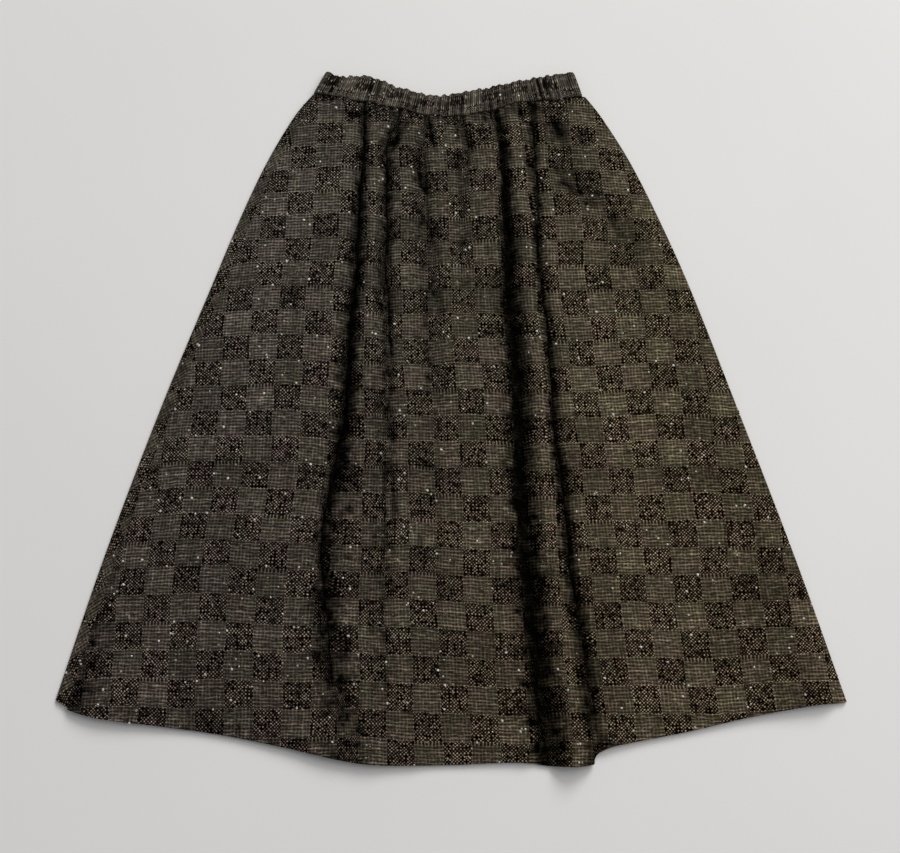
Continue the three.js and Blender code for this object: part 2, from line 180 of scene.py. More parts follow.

# Each long fold at seven levels: its place, depth (a ridge is negative), half widths and hidden cloth, then
# the painted shade inside it: offset from the fold, half widths and darkness (a negative darkness is a
# painted highlight on a lit ridge). Lean is how many mm its sides hang over it.
foldLevels = [410, 350, 220, 30, -150, -265, -375]
folds = {
    "a": {
        "x": [-108, -104, -111, -120.5, -148, -138, -112], "depth": [5, 11.5, 14.5, 15.5, 14, 9, 3],
        "left": [5, 7, 10, 11, 10, 12, 15], "right": [3, 3.2, 3.6, 3.8, 5, 10, 14],
        "leanRight": 5.5,
        "hidden": [34, 32, 28, 22, 16, 12, 8], "spread": 1.3,
        "shadeAt": [0, -1, 0, 0, 0, 0, 0], "shadeLeft": [5, 8, 12, 15, 9, 16, 20],
        "shadeRight": [5, 5, 7, 14, 15, 15, 18], "dark": [0.9, 0.9, 0.93, 0.95, 0.88, 0.8, 0.5],
        "wobble": 1.6, "phase": 0.6,
    },
    "b": {
        "x": [-62, -79, -77, -73, -73, -75, -66], "depth": [4.5, 9.5, 9.5, 7, 5, 3, 1.2],
        "left": [4, 5, 6, 8, 10, 12, 16], "right": [3, 3.4, 4.4, 7, 10, 13, 17],
        "leanRight": 3,
        "hidden": [28, 26, 22, 15, 9, 6, 3], "spread": 3,
        "shadeAt": [0, 0, 0, -1, -1, -1, 0], "shadeLeft": [5, 8, 12, 13, 13, 14, 16],
        "shadeRight": [5, 9, 10, 10, 11, 12, 14], "dark": [0.8, 0.78, 0.76, 0.6, 0.5, 0.34, 0.12],
        "wobble": 2.2, "phase": 2.3,
    },
    "c": {
        "x": [-30, -33, -24, -16, -19, -18, -15], "depth": [4.5, 8, 7.5, 4, 2.4, 2.2, 1.6],
        "left": [5, 8, 11, 14, 16, 18, 20], "right": [3, 4.5, 6, 11, 15, 18, 20],
        "leanRight": 1.5,
        "hidden": [6, 6, 5, 3, 2, 1.5, 1], "spread": 2,
        "shadeAt": [0, -4, -7, 0, 0, 0, 0], "shadeLeft": [4, 12, 16, 18, 20, 20, 20],
        "shadeRight": [4, 7, 8, 14, 18, 20, 20], "dark": [0.5, 0.5, 0.5, 0.25, 0.14, 0.1, 0.08],
        "wobble": 3, "phase": 4.1,
    },
    "d": {
        "x": [14, 18, 15, 18, 22, 26, 30], "depth": [4.5, 6.5, 3, 0.6, 0, 0, 0],
        "left": [4, 5, 8, 12, 16, 18, 20], "right": [3, 4, 7, 12, 16, 18, 20],
        "leanRight": 1.5,
        "hidden": [6, 5, 4, 1, 0, 0, 0], "spread": 2,
        "shadeAt": [0, -2, -4, 0, 0, 0, 0], "shadeLeft": [4, 9, 10, 14, 20, 20, 20],
        "shadeRight": [4, 6, 10, 14, 20, 20, 20], "dark": [0.4, 0.35, 0.25, 0.1, 0.04, 0.04, 0.04],
        "wobble": 3, "phase": 1.2,
    },
    "e": {
        "x": [50, 61, 64, 73, 77, 87, 98], "depth": [4.5, 12, 15, 16, 16, 15, 12],
        "left": [3.2, 3.6, 3.8, 4, 4.2, 4.6, 5.5], "right": [4, 6, 8, 10, 12, 13, 14],
        "leanLeft": 5,
        "hidden": [26, 26, 24, 21, 18, 17, 15], "spread": 1.6,
        "shadeAt": [5, 8, 4, 5, 6.5, 9.5, 6], "shadeLeft": [5, 7, 11, 14, 14, 16, 17],
        "shadeRight": [6, 7, 14, 17, 19, 19, 24], "dark": [0.8, 0.93, 0.96, 0.97, 0.97, 0.96, 0.93],
        "wobble": 1.8, "phase": 3.3,
    },
    # The flute's darkness is negative: a painted highlight along its lit crest.
    "flute": {
        "x": [78, 84, 91, 103, 115, 126, 138], "depth": [0, -0.5, -3, -6, -8.5, -9.5, -9.5],
        "left": [8, 9, 10, 12, 14, 15, 16], "right": [8, 9, 9, 10, 11, 12, 12],
        "hidden": [0, 0, 0, 2, 3, 4, 4], "spread": 1.5,
        "shadeAt": [0, 2, 5, 2, 0, -3, -2], "shadeLeft": [8, 8, 7, 7, 7, 7, 8],
        "shadeRight": [8, 8, 7, 7, 7, 7, 8], "dark": [0, -0.15, -0.3, -0.3, -0.3, -0.2, -0.1],
        "wobble": 1.4, "phase": 3.3,
    },
    "f": {
        "x": [104, 103, 107, 118.5, 134.5, 149.5, 160], "depth": [4.5, 10, 13, 15, 15, 14, 12],
        "left": [3.4, 3.8, 4, 4.2, 4.6, 5, 5.5], "right": [3.2, 3.6, 4, 4.4, 5, 5.5, 6.5],
        "leanLeft": 5, "leanRight": 2.5,
        "hidden": [34, 35, 34, 30, 26, 23, 20], "spread": 1.5,
        "shadeAt": [0, 0, 0, 3, 1, 0, -2], "shadeLeft": [5, 8, 6, 7, 10, 9, 8],
        "shadeRight": [6, 7, 7, 8, 8, 10, 9], "dark": [0.85, 0.75, 0.86, 0.86, 0.88, 0.85, 0.75],
        "wobble": 1.4, "phase": 5.4,
    },
    "g": {
        "x": [119, 139, 206, 298, 350, 378, 395], "depth": [2.5, 4.5, 4.5, 2.4, 1.6, 1.4, 1],
        "left": [6, 12, 20, 34, 38, 40, 40], "right": [4, 8, 16, 28, 32, 32, 32],
        "leanRight": 1,
        "hidden": [2, 1, 0, 0, 0, 0, 0], "spread": 1.5,
        "shadeAt": [2, 0, 0, 0, 0, 0, 0], "shadeLeft": [8, 15, 18, 30, 30, 30, 30],
        "shadeRight": [9, 11, 18, 30, 30, 30, 30], "dark": [0.2, 0.08, 0.08, 0.03, 0, 0, 0],
        "wobble": 3, "phase": 0.2,
    },
}

# Short gathers that fade out below the waistband: x, depth, reach, drift sideways
frontGathers = [
    (-151, 1.4, 45, -12), (-132, 1.4, 30, -6), (-120, 1.8, 22, 3), (-96, 0.6, 26, 4), (-74, 1.6, 24, -2),
    (-51, 1.6, 30, 5), (-40, 0.8, 18, -3), (-12, 1.0, 26, 6), (2, 1.8, 20, -4), (30, 1.0, 34, 10),
    (42, 1.0, 26, 4), (63, 0.8, 26, 6), (76, 1.2, 20, 3), (98, 1.4, 26, 7), (107, 1.6, 34, 8),
    (131, 0.8, 18, 2), (144, 1.2, 32, 12), (155, 1.4, 26, 12),
]

# Soft hollows pressed into the front: x, y, half widths across and along, lean to the right
# in degrees as they run down, depth, darkness
# The last column is the darkness of painted shade in each hollow, darkest in its core.
hollows = [
    (134, 386, 11, 17, 25, 4, 0.93), (166, 370, 18, 9, 75, 2, 0.6), (150, 305, 11, 36, 42, 3, 0.62),
    (209, 252, 16, 20, 35, 2, 0.3), (103, 366, 6, 22, 10, 3, 0.35), (88, 406, 5, 18, 14, 3, 0.88),
    (64, 385, 6, 22, 18, 3, 0.65), (25, 362, 5, 13, 20, 3, 0.5), (9, 337, 7, 14, -8, 2.5, 0.65),
    (9, 376, 5, 16, 0, 2, 0.7), (-24, 380, 5, 17, 4, 3, 0.72), (-31, 312, 13, 24, 15, 2.5, 0.62),
    (-66, 366, 7, 22, -22, 3, 0.8), (-56, 392, 4, 10, -10, 2, 0.35), (-42, 404, 5, 7, 0, 1.5, 0.4),
    (-122, 402, 24, 7, 0, 1, 0.72), (-68, 419, 3, 5, 0, 2, 0.7), (-79, 420, 3, 5, 0, 2, 0.6),
    (44, 397, 4, 8, 10, 2, 0.6), (105, 411, 4, 9, 8, 2, 0.5), (118, 375, 6, 12, 0, 1.5, 0.35),
    (-21, 245, 9, 22, 5, 2, 0.4), (-24, 362, 6, 9, 0, 2, 0.45), (-11, 158, 9, 22, 5, 1.5, 0.3),
    (15, 240, 8, 20, -6, 1.5, 0.3), (-26, 60, 8, 20, -8, 1.5, 0.25), (-122, -290, 12, 26, 12, 2, 0.35),
]

# Broad painted shade and painted highlight (darkness under 0) where the cloth tips away from the light or
# towards it: the same, without the depth
paintedLightAndShade = [
    (-406, -262, 20, 84, -15, 0.44), (-427, -318, 22, 26, 0, 0.42), (-222, -358, 17, 115, 80, 0.34),
    (-300, -290, 70, 140, 80, 0.08), (-300, -60, 60, 120, -15, 0.05), (-280, 130, 30, 70, -25, -0.1),
    (-240, 200, 42, 150, -25, -0.1), (-158, 95, 22, 80, -5, -0.15), (-115, -75, 10, 58, 0, 0.45),
    (-156, -228, 9, 26, -5, 0.48), (-94, 200, 9, 105, -3, -0.35), (-50, 180, 11, 110, 0, -0.2),
    (3, 215, 9, 70, 0, -0.15), (22, -10, 26, 90, 0, -0.12), (40, -175, 40, 45, 0, -0.14),
    (182, -368, 14, 10, 0, 0.55), (167, 60, 34, 160, 12, -0.23), (235, -275, 75, 38, 80, -0.16),
    (352, -155, 40, 180, 13, 0.22), (400, -315, 30, 25, 0, 0.12), (-119, -260, 9, 18, 15, 0.48),
    (-139, -185, 8, 20, 0, -0.5), (-146, -62, 9, 24, -5, -0.3), (-152, -128, 7, 22, 5, -0.3),
    (-118, -148, 10, 22, 5, 0.35), (-86, -332, 14, 12, 0, -0.3), (-88, -362, 14, 11, 0, 0.2),
    (-236, -150, 14, 70, -8, 0.14), (134, -232, 7, 26, 5, 0.35), (160, 290, 30, 34, 30, 0.24),
    (98, 335, 5, 32, 10, 0.3), (-125, 394, 12, 7, 0, 0.25), (-99, 412, 7, 6, 0, -0.35),
    (226, 196, 12, 32, 47, 0.22),
]

backGathers = [
    (-146, 1.6, 60, -18), (-128, 2.4, 95, -14), (-112, 1.6, 45, -6), (-93, 2.8, 130, -10),
    (-72, 2.0, 60, -4), (-55, 2.6, 110, -4), (-38, 1.8, 50, -2), (-14, 2.8, 140, 0),
    (6, 1.8, 55, 2), (26, 2.6, 100, 4), (44, 1.8, 50, 4), (66, 2.8, 125, 8),
    (86, 1.8, 55, 6), (108, 2.6, 100, 14), (127, 2.0, 60, 14), (143, 1.6, 45, 16),
]

halving = 0.69                     # makes a soft edge half as strong at its half width
# Edges of soft ovals, and the shape of the painted shade in folds, gathers and hollows
shading = {
    "ovalEdge": 1.2,               # how steep the edge of a soft oval is
    "foldEdge": 2.4,               # and that of a fold's painted shade
    "deepGather": 3,               # mm of depth where a gather's painted shade is darkest
    "coreWide": 0.45,              # a hollow's core of painted shade, as shares of its half widths
    "coreTall": 0.9,
    "stronger": 1.2,
    "paintedDarkest": 0.98,
}


def mix(a, b, t):
    return a + (b - a) * t


def bell(t):
    return np.exp(-t * t / 2)


def ease(t):
    c = np.clip(t, 0, 1)
    return c * c * (3 - 2 * c)


def along(rows, column, at):       # smooth curve through a table whose first column rises
    table = np.array(rows, float)
    keys, values = table[:, 0], table[:, column]
    slopes = np.empty(len(keys))
    slopes[1:-1] = (values[2:] - values[:-2]) / (keys[2:] - keys[:-2])
    slopes[0] = (values[1] - values[0]) / (keys[1] - keys[0])
    slopes[-1] = (values[-1] - values[-2]) / (keys[-1] - keys[-2])
    at = np.clip(at, keys[0], keys[-1])
    i = np.clip(np.searchsorted(keys, at, side="right") - 1, 0, len(keys) - 2)
    step = keys[i + 1] - keys[i]
    t = (at - keys[i]) / step
    start, end = slopes[i] * step, slopes[i + 1] * step
    rise = values[i + 1] - values[i]
    bend = (3 * rise - 2 * start - end) * t**2 + (start + end - 2 * rise) * t**3
    return values[i] + start * t + bend


def atLevel(values, y):            # one of a fold's lists at the level y
    levels, column = np.array(foldLevels[::-1], float), np.array(values[::-1], float)
    y = np.clip(y, levels[0], levels[-1])
    i = np.clip(np.searchsorted(levels, y, side="right") - 1, 0, len(levels) - 2)
    t = (y - levels[i]) / (levels[i + 1] - levels[i])
    return mix(column[i], column[i + 1], ease(t) * 0.35 + t * 0.65)


def foldAt(fold, y):               # a fold's place, which wanders a little
    sway = np.sin(y / 13.5 + fold["phase"]) * 0.4 + np.sin(y / 31 + 2 * fold["phase"]) * 0.6
    return atLevel(fold["x"], y) + fold["wobble"] * sway


def leftAt(y):
    return along(outline["sides"], 1, y)


def rightAt(y):
    return along(outline["sides"], 2, y)


def seamAt(x):
    return along(outline["waistSeam"], 1, x)


def hemAt(x):
    return along(outline["hem"], 1, x)


def sideWidth(fold, kind, offset, y):      # half width of a fold or its shade, on the offset's side of it
    left, right = ("left", "right") if kind == "fold" else ("shadeLeft", "shadeRight")
    return np.where(offset < 0, atLevel(fold[left], y), atLevel(fold[right], y))


def seamWave(x):
    wave = drape["seamWave"] * (np.sin(x / 5.6 + 1.2 * np.sin(x / 23)) + 0.8 * np.sin(x / 13.1 + 1))
    return wave * ease((150 - np.abs(x)) / 20)


def endLevel(curve, u):            # y of the waist seam or hem at the share u across
    y = curve(np.zeros_like(u))
    for _ in range(6):
        y = curve(mix(leftAt(y), rightAt(y), u))
    return y


def plan(u, v, lift=0.0):          # place at the share u across and v down the skirt
    u = np.asarray(u, float)
    top = endLevel(seamAt, u)
    top = top - drape["seamGap"] + seamWave(mix(leftAt(top), rightAt(top), u))
    y = mix(top, endLevel(hemAt, u) + lift, v)
    return mix(leftAt(y), rightAt(y), u), y


def gatherDepth(gathers, x, down):
    depth = np.zeros_like(x)
    for at, deep, reach, drift in gathers:
        middle = at + drift * down / reach
        depth += deep * (1 - ease(down / reach)) * bell((x - middle) / drape["gatherWidth"])
    return depth


def within(x, y, patch):           # share of a soft oval patch at a place, half of it at its half widths
    atX, atY, wide, tall, lean = patch
    lean = math.radians(lean)
    across = (x - atX) * math.cos(lean) + (y - atY) * math.sin(lean)
    down = (x - atX) * math.sin(lean) - (y - atY) * math.cos(lean)
    return np.exp(-halving * ((across / wide)**2 + (down / tall)**2)**shading["ovalEdge"])


def wrinkleHeight(x, y):
    height = np.zeros_like(x)
    for high, wave, turn, start in drape["wrinkles"]:
        turn = math.radians(turn)
        way = x * math.cos(turn) + y * math.sin(turn)
        height += high * np.sin(2 * math.pi * way / wave + start)
    return height


def rollAt(down):                  # radius of the side rolls at a distance below the waistband
    return mix(drape["waistRoll"], drape["rollRadius"], ease(down / 70))


def frontHeight(x, y):             # middle of the front panel's cloth
    left, right = leftAt(y), rightAt(y)
    u = (x - left) / (right - left)
    down = seamAt(x) - y
    edge = clothThickness / 2 + 2 * rollAt(down)
    inset = np.minimum(x - left, right - x) - rollAt(down)
    end = np.where(y > crestLevels["middle"], along(crests, 1, u), along(crests, 3, u))
    level = np.where(y > crestLevels["middle"], crestLevels["upper"], crestLevels["lower"])
    share = (y - crestLevels["middle"]) / (level - crestLevels["middle"])
    crest = mix(along(crests, 2, u), end, ease(share)) + wrinkleHeight(x, y)
    crest = crest * ease(down / drape["riseBelowBand"]) * ease(inset / drape["riseFromSide"])
    toHem = y - hemAt(x)
    inside = mix(drape["insideHeight"] + crest, along(hemWaves, 1, x), ease(1 - toHem / drape["hemReach"]))
    height = mix(edge, inside, ease(inset / drape["riseFromRoll"]))
    for fold in folds.values():
        offset = x - foldAt(fold, y)
        height -= atLevel(fold["depth"], y) * bell(offset / sideWidth(fold, "fold", offset, y))
    height -= drape["gatherDeeper"] * gatherDepth(frontGathers, x, down)
    for *patch, depth, _ in hollows:
        height -= depth * within(x, y, patch)
    seamLeft, seamRight = leftAt(seamAt(x)), rightAt(seamAt(x))
    across = (x - seamLeft) / (seamRight - seamLeft)
    wave = (1 - np.cos(2 * math.pi * (puckers * across + 0.22 * np.sin(9 * across)))) / 2
    wave = wave * (1 + 0.5 * np.sin(31 * across))
    height -= drape["pucker"] * wave * np.exp(-((down / drape["puckerReach"])**2)) * ease(inset / 8)
    swell = np.exp(-((down / drape["bulgeReach"])**2)) * ease(inset / 12)
    height += drape["bulge"] * swell * (1 - 0.6 * wave)
    floor = mix(drape["lowest"], drape["lowestAtHem"], ease(1 - (toHem - 25) / 12))
    spare = height - floor
    soft = drape["softFloor"]
    return floor + np.where(spare > soft, spare, soft * np.exp(np.minimum(spare, soft) / soft - 1))


def leaning(x, y):                 # how far the folds' sides lean over them
    shift = np.zeros_like(x)
    for fold in folds.values():
        offset = x - foldAt(fold, y)
        t = offset / sideWidth(fold, "fold", offset, y)
        lean = np.where(offset < 0, fold.get("leanLeft", 0), -fold.get("leanRight", 0))
        full = np.clip(atLevel(fold["depth"], y) / 10, 0, 1)**1.5
        shift += lean * full * t * t * np.exp(1 - t * t)
    return shift


def paintedFoldShade(x, y):               # painted shade in the folds, gathers, hollows and tone patches, under 0 for a painted highlight on a lit ridge
    clear = np.ones_like(x)
    for fold in folds.values():
        offset = x - foldAt(fold, y) - atLevel(fold["shadeAt"], y)
        t = np.abs(offset / sideWidth(fold, "shade", offset, y))
        clear *= 1 - atLevel(fold["dark"], y) * np.exp(-halving * t**shading["foldEdge"])
    # painted shade in the short gathers under the waistband
    deep = gatherDepth(frontGathers, x, seamAt(x) - y) / shading["deepGather"]
    clear *= 1 - drape["gatherPaintedShade"] * np.clip(deep, 0, 1)
    for atX, atY, wide, tall, lean, _, dark in hollows:
        whole = within(x, y, (atX, atY, wide, tall, lean))
        core = within(x, y, (atX, atY, wide * shading["coreWide"], tall * shading["coreTall"], lean))
        clear *= 1 - min(shading["paintedDarkest"], shading["stronger"] * dark) * mix(whole, core, 0.5)
    for *patch, dark in paintedLightAndShade:
        clear *= 1 - dark * within(x, y, patch)
    return 1 - clear


def backHeight(x, y):              # middle of the back panel's cloth, on the surface
    lift = gatherDepth(backGathers, x, seamAt(x) - y)
    room = frontHeight(x, y) - 2.5 * clothThickness
    return clothThickness / 2 + np.clip(lift, 0, np.maximum(0, room))


# Cloth panels

# Where the check was pulled out of line as the cloth was laid: x, y, half widths across and along,
# lean, then the move across and down, in mm
pulls = [
    (130, -150, 200, 290, 0, 0, 8.5), (-258, -205, 95, 110, -15, -5, -3), (235, -60, 62, 150, 12, -5, 0),
]

panels = {
    "hemTurn": 28,                 # turned-up hem inside
    "rows": 182,
    "columns": 232,
    "length": 800,                 # along which the rows are set out
    "firstRow": 1.3,
    "rowGrowth": 1.045,
    "lastRow": 4.9,
    "crowding": 2.6,               # how much closer the columns stand in a deep fold
    "leftSeamInset": 15,
    "rightSeamInset": 16,
    "seamGap": 0.3,
    "backHemLift": 3,
    "underSteps": (0.35, 0.7, 1),  # columns of the front's strip that lies under its right side
    "stripColumns": 6,             # columns of the back's strip, and how far from the edge they begin
    "stripEnd": 12,
    "rollSteps": 10,
    "hemExtra": 0.9,               # thickness that the turned-up hem adds inside
    "check": 32,                   # side of a woven square, mm
    "checkLength": 31.2,           # the same down the cloth
    "checkStart": (261.4, 170.9),
    "sag": 1.5,                    # how far the rows and columns of squares wander, mm
    "slip": 1.2,
    "stripTurn": 35,               # degrees between the two panels' grain at the left seam
    "nepsUpTo": 0.5,               # neps show where the fold's painted shade is less than this
}
edgeSteps = [0, 0.12, 0.4, 0.9, 1.6]       # mm from a rounded edge


def rowShares():                   # shares down the skirt, close together near the waist and hem
    count = panels["rows"]
    length = panels["length"]
    gaps = np.minimum(panels["firstRow"] * panels["rowGrowth"]**np.arange(count), panels["lastRow"])
    places = np.concatenate([[0], np.cumsum(gaps)])
    places = places / places[-1] * length
    middle = places[(places > 2.5) & (places < length - 3)]
    ends = np.array(edgeSteps)
    return np.concatenate([ends, middle, (length - ends)[::-1]]) / length


def columnShares(v, start, end, count):
    u = np.linspace(start, end, 1400)
    x, y = plan(u, v)
    weight = np.ones_like(u)
    for fold in folds.values():
        width = (atLevel(fold["left"], y) + atLevel(fold["right"], y)) / 2
        deep = np.minimum(1, np.abs(atLevel(fold["depth"], y)) / 8)
        near = bell((x - foldAt(fold, y)) / (1.9 * width))
        weight += panels["crowding"] * deep * near * np.clip(10 / width, 0.3, 1)
    total = np.concatenate([[0], np.cumsum((weight[1:] + weight[:-1]) / 2)])
    return np.interp(np.linspace(0, total[-1], count), total, u)


def hiddenCloth(x, y):             # cloth tucked into the folds left of a place
    hidden = np.zeros_like(x)
    for name, fold in folds.items():
        reach = fold["spread"] * (atLevel(fold["left"], y) + atLevel(fold["right"], y)) / 2
        past = ease((x - foldAt(fold, y)) / (2 * reach) + 0.5)
        hidden += atLevel(fold["hidden"], y) * (past - (1 if name == "a" else 0))
    return hidden


def weavePlace(x, y):              # where the check falls, in mm of cloth
    startX, startY = panels["checkStart"]
    u = x + startX + hiddenCloth(x, y)
    v = (startY - y) * panels["check"] / panels["checkLength"]
    sag, slip = panels["sag"], panels["slip"]
    sagging = sag * (np.sin(u / 46 + v / 120) + 0.55 * np.sin(u / 21 - v / 75 + 1.3))
    slipping = slip * (np.sin(v / 52 + 0.5) + 0.6 * np.sin(v / 23 + u / 60))
    for *patch, moveAcross, moveDown in pulls:
        share = within(x, y, patch)
        u, v = u - moveAcross * share, v - moveDown * share
    return u + slipping, v + sagging


def rowWidth(v, lift=0.0):
    ends = plan(np.array([0.0, 1.0]), v, lift)[0]
    return ends[1] - ends[0]


def turnPoints(v, side, turns, lift):      # round a side, from the top of the roll to the underside
    edgeX, edgeY = plan(np.array([1.0 if side > 0 else 0.0]), v, lift)
    radius = rollAt(seamAt(edgeX) - edgeY)[0]
    angle = math.pi * (0.5 - turns)
    inset = radius * (1 - np.cos(angle))
    share = inset / rowWidth(v, lift)
    u = 1 - share if side > 0 else share
    z = clothThickness / 2 + radius * (1 + np.sin(angle))
    return np.stack([edgeX[0] - side * inset, plan(u, v, lift)[1], z], axis=1)


def rowRoll(v):                    # radius of the side rolls on a row
    x, y = plan(np.array([0.0]), v)
    return rollAt(seamAt(x) - y)[0]


def frontRow(v):
    width = rowWidth(v)
    start = (panels["leftSeamInset"] + panels["seamGap"] / 2) / width
    radius = rowRoll(v)
    end = 1 - radius / width
    edge = start + np.array(edgeSteps) / width
    top = np.concatenate([edge, columnShares(v, edge[-1], end, panels["columns"])[1:]])
    x, y = plan(top, v)
    u, w = weavePlace(x, y)
    seen = x + leaning(x, y)
    points = np.stack([seen, y, frontHeight(x, y)], axis=1)
    turns = np.linspace(0, 1, panels["rollSteps"] + 1)[1:]
    roll = turnPoints(v, 1, turns, 0)
    strip = np.array(panels["underSteps"])
    under = 1 - mix(radius, panels["rightSeamInset"], strip) / width
    underX, underY = plan(under, v)
    bottom = np.stack([underX, underY, np.full(len(strip), clothThickness / 2)], axis=1)
    rollU = u[-1] + turns * math.pi * radius
    bottomU = rollU[-1] + strip * (panels["rightSeamInset"] - radius)
    extra = np.concatenate([rollU, bottomU])
    weave = np.concatenate([np.stack([u, w], axis=1), np.stack([extra, np.full(len(extra), w[-1])], axis=1)])
    shade = np.concatenate([paintedFoldShade(seen, y), np.zeros(len(extra))])
    return np.concatenate([points, roll, bottom]), weave, shade


def backRow(v):
    lift = panels["backHemLift"]
    radius = rowRoll(v)
    width = rowWidth(v)
    inward = np.linspace(panels["stripEnd"], radius + 1, panels["stripColumns"])
    insets = np.concatenate([panels["leftSeamInset"] - np.array(edgeSteps), inward])
    x, y = plan(insets / width, v, lift)
    strip = np.stack([x, y, frontHeight(x, y)], axis=1)
    turns = np.linspace(0, 1, panels["rollSteps"] + 1)
    roll = turnPoints(v, -1, turns, lift)
    count = panels["columns"] - 5
    start = (radius + 2) / width
    end = 1 - (panels["rightSeamInset"] + panels["seamGap"]) / width
    under = np.linspace(start, end, count)
    underX, underY = plan(under, v, lift)
    bottom = np.stack([underX, underY, backHeight(underX, underY)], axis=1)
    rollWay = radius + 1 + turns * math.pi * radius
    way = np.concatenate([-insets, rollWay - radius - 1, rollWay[-1] - radius + underX - underX[0]])
    turn = math.radians(panels["stripTurn"])
    level = -np.concatenate([y, roll[:, 1], underY])
    weave = np.stack([
        way * math.cos(turn) + level * math.sin(turn),
        level * math.cos(turn) - way * math.sin(turn),
    ], axis=1)
    made = np.concatenate([strip, roll, bottom])
    return made, weave, np.zeros(len(made))


def surfaceNormals(points, way):
    down, across = np.gradient(points, axis=0), np.gradient(points, axis=1)
    normal = np.cross(down, across) * way
    return normal / np.linalg.norm(normal, axis=2, keepdims=True)


def rounded(distance, radius):     # share of the thickness at a distance from a rounded edge
    t = np.clip(1 - distance / radius, 0, 1)
    return np.sqrt(1 - t * t)


def finishCloth(name, corners, faces, weave, shade, outside):      # two skins, weave and painted shade on both
    corners[:, 2] = np.maximum(corners[:, 2], 0)
    corners = (corners - np.array([*centre, 0])) * mm
    mesh = bpy.data.meshes.new(name)
    mesh.from_pydata(corners.tolist(), [], faces.tolist())
    mesh.shade_smooth()
    vertex = np.empty(len(mesh.loops), dtype=np.int64)
    mesh.loops.foreach_get("vertex_index", vertex)
    flat = np.concatenate([weave, weave]) * mm
    layer = mesh.uv_layers.new(name="weave")
    layer.data.foreach_set("uv", flat[vertex].astype(np.float32).ravel())
    paintedShadeLayer = mesh.attributes.new("paintedFoldShade", "FLOAT", "POINT")
    paintedShadeLayer.data.foreach_set("value", np.concatenate([shade, shade]).astype(np.float32))
    seen = mesh.attributes.new("outside", "BOOLEAN", "FACE")
    seen.data.foreach_set("value", np.concatenate([outside, np.zeros(len(faces) - len(outside), bool)]))
    mesh.update()
    return newObject(name, mesh)


def clothMesh(name, points, weave, shade, way):    # closed wall of cloth on a grid of points
    rows, columns = points.shape[:2]
    normal = surfaceNormals(points, way)
    toWaist = np.linalg.norm(points - points[:1], axis=2)
    toHem = np.linalg.norm(points - points[-1:], axis=2)
    toSeam = np.linalg.norm(points - points[:, :1], axis=2)
    toEnd = np.linalg.norm(points - points[:, -1:], axis=2)
    soft = rounded(toWaist, 1.0) * rounded(toHem, 0.9) * rounded(toSeam, 1.0) * rounded(toEnd, 0.6)
    half = clothThickness / 2
    turned = ease((panels["hemTurn"] - toHem) / 1.2)
    depth = mix(half, half + panels["hemExtra"], turned)
    outer = points + normal * (half * soft)[..., None]
    inner = points - normal * (depth * soft)[..., None]
    count = rows * columns
    index = np.arange(count).reshape(rows, columns)
    quads = np.stack([index[:-1, :-1], index[1:, :-1], index[1:, 1:], index[:-1, 1:]], axis=-1).reshape(-1, 4)
    ring = np.concatenate([index[0, :-1], index[:-1, -1], index[-1, :0:-1], index[:0:-1, 0]])
    ahead = np.roll(ring, -1)
    border = np.stack([ring, ahead, ahead + count, ring + count], axis=1)
    faces = np.concatenate([quads, quads[:, ::-1] + count, border])
    if way < 0:
        faces = faces[:, ::-1]
    corners = np.concatenate([outer.reshape(-1, 3), inner.reshape(-1, 3)])
    outside = shade.ravel()[quads[:, 0]] < panels["nepsUpTo"]
    return finishCloth(name, corners, faces, weave.reshape(-1, 2), shade.ravel(), outside)


def makePanel(name, rowMaker, way):
    made = [rowMaker(v) for v in rowShares()]
    points = np.stack([row[0] for row in made])
    weave = np.stack([row[1] for row in made])
    shade = np.stack([row[2] for row in made])
    return clothMesh(name, points, weave, shade, way)


frontPanel = makePanel("skirtFront", frontRow, 1)
backPanel = makePanel("skirtBack", backRow, -1)
print("panels made:", len(frontPanel.data.polygons), len(backPanel.data.polygons), "faces")


# Waistband: a folded casing, drawn in by the elastic inside it

band = {
    "thickness": 4.6,
    "roll": 3.725,                 # radius of the turn at each side
    "cloth": 1.2,
    "perPucker": 16,
    "depth": 1.9,
    "top": 1.5,                    # how far the puckers notch the upper edge
    "aboveSeamLine": 3.0,          # how far the upper edge stands over the outline's waist line
    "ribs": 0.9,                   # small ribs between the puckers
    "groovePaintedShade": 0.62,
    "endPaintedShade": 0.25,
    "endReach": 0.06,              # share of the band with painted shade at each end
    "paintedDarkest": 0.85,
    "stretch": 1.3,                # cloth along the band for each mm of band
    "threadShare": 2.1,            # shortens the streaks, which the gathers break up
    "sectionPoints": 26,
    "squareness": 0.30,
    "smoothEnds": 1 / 40,
}


def bandStations():                # t across, and turn from the front (0) to the back (1)
    steps = puckers * band["perPucker"]
    across = np.linspace(0, 1, steps + 1)
    turns = np.linspace(0, 1, 9)[1:-1]
    t = np.concatenate([across, np.ones(len(turns)), across[::-1], np.zeros(len(turns))])
    turn = np.concatenate([np.zeros(steps + 1), turns, np.ones(steps + 1), turns[::-1]])
    return t, turn


def puckerDip(t, turn):
    flat = (turn == 0) | (turn == 1)
    phase = 2 * math.pi * (puckers * t + 0.22 * np.sin(9 * t + 3 * turn))
    uneven = 1 + 0.3 * np.sin(31 * t + turn)
    main = band["depth"] * uneven * (1 - np.cos(phase)) / 2
    drift = 2.6 * np.sin(23 * t + 5 * turn) + 1.3 * np.sin(57 * t)
    small = band["ribs"] * (1 - np.cos(3 * phase + drift)) / 2
    small = small * (1 + 0.5 * np.sin(71 * t + 2 * turn))
    ends = ease(t / band["smoothEnds"]) * ease((1 - t) / band["smoothEnds"])
    return np.where(flat, main * ends, 0), np.where(flat, small * ends, 0)


